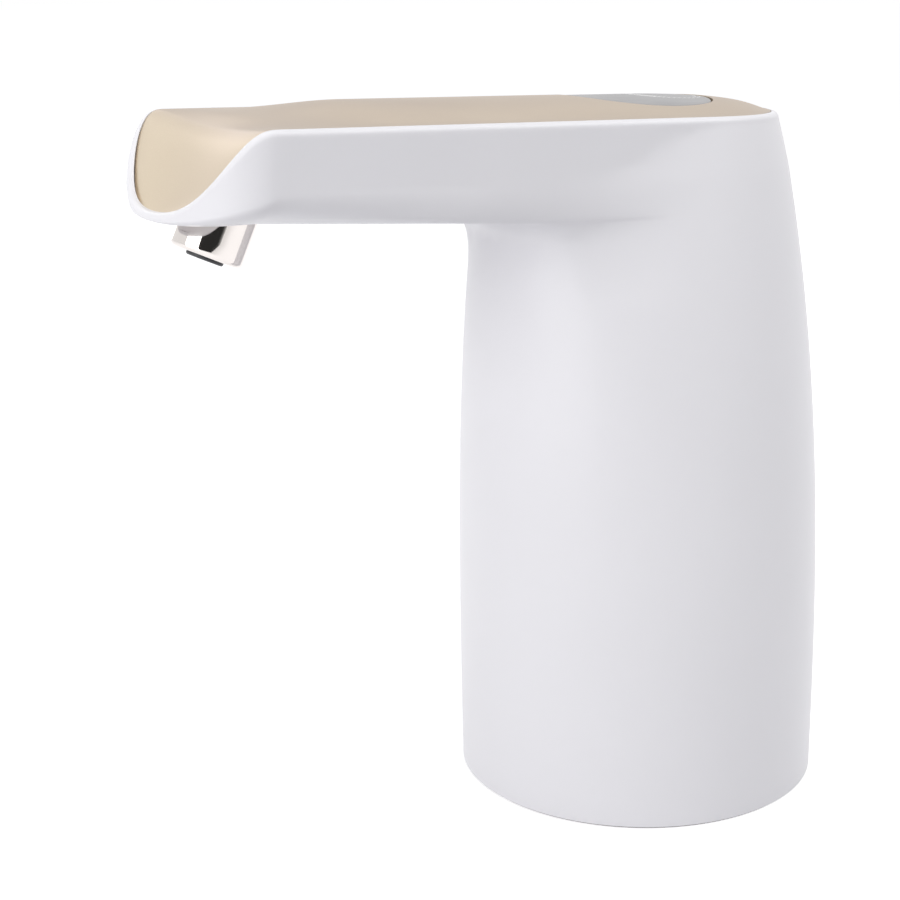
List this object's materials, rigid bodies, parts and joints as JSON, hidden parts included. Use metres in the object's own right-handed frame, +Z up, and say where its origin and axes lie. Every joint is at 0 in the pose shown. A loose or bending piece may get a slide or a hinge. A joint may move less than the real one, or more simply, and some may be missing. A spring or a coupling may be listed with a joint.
{
  "type": "electric water jug pump",
  "caption": "Rechargeable pump head for a water jug: round white body on a bottle-neck socket, long spout with a gold top, push button and a tilted chrome outlet.",
  "frame": {"origin": "centre of the base at the mouth of the bottle-neck socket", "axes": "+Z up, the spout along -X, the charging socket at +X"},
  "size_m": [0.1481, 0.0778, 0.1477],
  "materials": {
    "white_plastic": "satin moulded plastic",
    "natural_plastic": "plain moulded plastic",
    "gold_panel": "champagne gold lacquer",
    "button_grey": "satin grey",
    "inlay_white": "translucent white",
    "board_green": "solder mask",
    "black_plastic": "moulded",
    "chrome": "polished plating",
    "rubber_dark": "soft rubber",
    "rubber_light": "milky silicone",
    "steel": "plated",
    "iron": "sintered and laminated",
    "brass": "sintered bronze and copper",
    "cell_wrap": "shrink sleeve round a steel cell"
  },
  "bodies": {
    "housing": {"main_shell": "white_plastic", "top_panel": "gold_panel", "button_board": "board_green", "board_screws": "steel", "tact_switch": "black_plastic", "status_led": "inlay_white", "outlet_nozzle": "chrome", "nozzle_insert": "black_plastic", "nozzle_nut": "natural_plastic", "nozzle_seal": "rubber_dark", "outlet_tube": "rubber_light", "pump_head": "black_plastic", "valve_plate": "natural_plastic", "valve_discs": "rubber_dark", "diaphragm": "rubber_dark", "pump_housing": "black_plastic", "pump_screws": "steel", "motor_screws": "steel", "motor_can": "steel", "motor_end_cap": "black_plastic", "motor_bushings": "brass", "magnets": "iron", "brushes": "black_plastic", "motor_terminals": "steel", "battery_cell": "cell_wrap", "battery_tabs": "steel", "main_board": "board_green", "main_screws": "steel", "usb_socket": "steel", "inner_frame": "natural_plastic", "frame_screws": "steel", "hose_connector": "natural_plastic", "inlet_tube": "rubber_light", "neck_sleeve": "white_plastic", "neck_seal": "rubber_light", "base_ring": "rubber_dark", "base_screws": "steel"},
    "button": {"power_button": "button_grey", "button_inlay": "inlay_white", "switch_plunger": "black_plastic"},
    "rotor": {"motor_shaft": "steel", "rotor_core": "iron", "commutator": "brass", "eccentric": "natural_plastic", "swash_pin": "steel"},
    "wobbler": {"wobble_plate": "natural_plastic"}
  },
  "joints": [
    {"name": "button_press", "type": "slide", "parent": "housing", "child": "button", "axis": [0, 0, -1], "range_m": [0, 0.0006], "stiffness_N_per_m": 2500, "springref_m": -0.0002},
    {"name": "rotor_spin", "type": "hinge", "parent": "housing", "child": "rotor", "pos_m": [0.007, 0, 0.095], "axis": [0, 0, 1], "continuous": true},
    {"name": "wobble_turn", "type": "hinge", "parent": "rotor", "child": "wobbler", "pos_m": [0.007, 0, 0.062], "axis": [0.1045, 0, 0.9945], "continuous": true, "deforming": ["diaphragm"]}
  ],
  "couplings": [
    {"joint": "wobble_turn", "follows": "rotor_spin", "ratio": -1}
  ]
}
